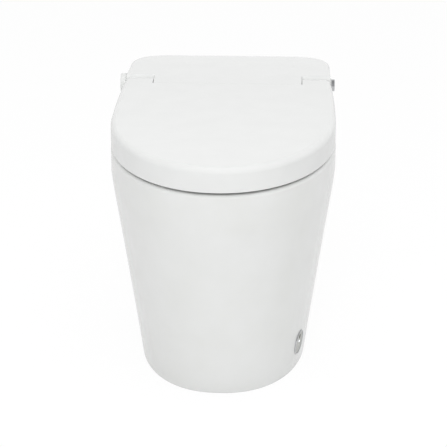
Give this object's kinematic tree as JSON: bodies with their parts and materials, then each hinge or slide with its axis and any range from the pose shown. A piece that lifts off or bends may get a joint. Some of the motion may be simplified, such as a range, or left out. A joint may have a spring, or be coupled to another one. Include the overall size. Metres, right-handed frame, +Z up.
{
  "type": "one-piece toilet",
  "caption": "White one-piece toilet with a skirted base, a hinged seat and lid, sliding wash wands, a warm-air dryer and side controls.",
  "frame": {"origin": "on the floor, under the middle of the outline", "axes": "+Z up, the front faces -Y, +X is the viewer's right from the front"},
  "size_m": [0.4108, 0.7, 0.4557],
  "materials": {
    "vitreous_glaze": "high gloss white glaze",
    "white_gloss_plastic": "glossy white moulding",
    "white_satin_plastic": "satin white moulding",
    "grey_plastic": "grey moulding",
    "black_plastic": "black moulding",
    "clear_lens": "dark window that lets infrared light through",
    "lamp_white": "milky white light",
    "chrome": "polished",
    "steel": "bright steel",
    "brass": "turned",
    "rubber": "black",
    "soft_rubber": "light grey",
    "circuit_board": "green board with its components"
  },
  "bodies": {
    "base": {"blower_housing": "grey_plastic", "booster_pump": "grey_plastic", "cable_gland": "black_plastic", "ceramic_body": "vitreous_glaze", "control_board": "circuit_board", "deck_bolt_left": "steel", "deck_bolt_right": "steel", "deck_gasket": "soft_rubber", "deodoriser": "grey_plastic", "dial_bezel": "chrome", "dial_encoder": "black_plastic", "dryer_duct": "white_satin_plastic", "floor_bracket_left": "steel", "floor_bracket_right": "steel", "flush_hose": "rubber", "flush_valve": "white_satin_plastic", "foot_sensor_bezel": "chrome", "foot_sensor_case": "black_plastic", "foot_sensor_lamp": "lamp_white", "foot_sensor_lens": "clear_lens", "foot_sensor_plate": "grey_plastic", "front_wand_motor": "grey_plastic", "hinge_damper_left": "grey_plastic", "hinge_damper_right": "grey_plastic", "housing_base": "white_satin_plastic", "housing_cover": "white_gloss_plastic", "knob_collar": "white_gloss_plastic", "knob_switch": "black_plastic", "nozzle_guard": "white_satin_plastic", "outlet_adaptor": "white_satin_plastic", "outlet_seal": "rubber", "rear_wand_motor": "grey_plastic", "rim_jet": "white_satin_plastic", "side_bolt_left": "steel", "side_bolt_right": "steel", "side_cap_left": "white_gloss_plastic", "side_cap_right": "white_gloss_plastic", "spigot_rubber": "rubber", "wand_guide": "grey_plastic", "water_heater": "white_satin_plastic", "water_inlet_fitting": "brass"},
    "lid": {"lid_shell": "white_gloss_plastic", "lid_hinge_shaft_left": "steel", "lid_hinge_shaft_right": "steel", "lid_buffer_left": "soft_rubber", "lid_buffer_right": "soft_rubber"},
    "seat": {"seat_ring": "white_gloss_plastic", "seat_buffer_front_left": "soft_rubber", "seat_buffer_front_right": "soft_rubber", "seat_buffer_rear_left": "soft_rubber", "seat_buffer_rear_right": "soft_rubber"},
    "rear_wand": {"rear_wash_wand": "white_satin_plastic"},
    "front_wand": {"front_wash_wand": "white_satin_plastic"},
    "flap": {"dryer_flap": "white_satin_plastic"},
    "fan": {"blower_fan": "black_plastic"},
    "dial": {"side_dial": "white_gloss_plastic"},
    "dial_button": {"dial_push_button": "white_satin_plastic"},
    "knob": {"side_push_knob": "chrome"}
  },
  "joints": [
    {"name": "lid_hinge", "type": "hinge", "parent": "base", "child": "lid", "pos_m": [0, 0.143, 0.4377], "axis": [-1, 0, 0], "range_deg": [0, 96]},
    {"name": "seat_hinge", "type": "hinge", "parent": "base", "child": "seat", "pos_m": [0, 0.143, 0.4377], "axis": [-1, 0, 0], "range_deg": [0, 92]},
    {"name": "rear_wand_slide", "type": "slide", "parent": "base", "child": "rear_wand", "axis": [0, -0.8829, -0.4695], "range_m": [0, 0.085]},
    {"name": "front_wand_slide", "type": "slide", "parent": "base", "child": "front_wand", "axis": [0, -0.8829, -0.4695], "range_m": [0, 0.085]},
    {"name": "flap_hinge", "type": "hinge", "parent": "base", "child": "flap", "pos_m": [0.0725, 0.09064, 0.39713], "axis": [-1, 0, 0], "range_deg": [0, 70]},
    {"name": "fan_spin", "type": "hinge", "parent": "base", "child": "fan", "pos_m": [0.098, 0.26, 0.4161], "axis": [0, 0, 1], "continuous": true},
    {"name": "dial_turn", "type": "hinge", "parent": "base", "child": "dial", "pos_m": [-0.1985, 0.183, 0.4343], "axis": [-1, 0, 0], "continuous": true},
    {"name": "dial_button_push", "type": "slide", "parent": "dial", "child": "dial_button", "axis": [1, 0, 0], "range_m": [0, 0.0015], "stiffness_N_per_m": 800},
    {"name": "knob_push", "type": "slide", "parent": "base", "child": "knob", "axis": [-1, 0, 0], "range_m": [0, 0.0025], "stiffness_N_per_m": 600}
  ],
  "couplings": [
    {"joint": "seat_hinge", "follows": "lid_hinge", "ratio": 0.95}
  ]
}
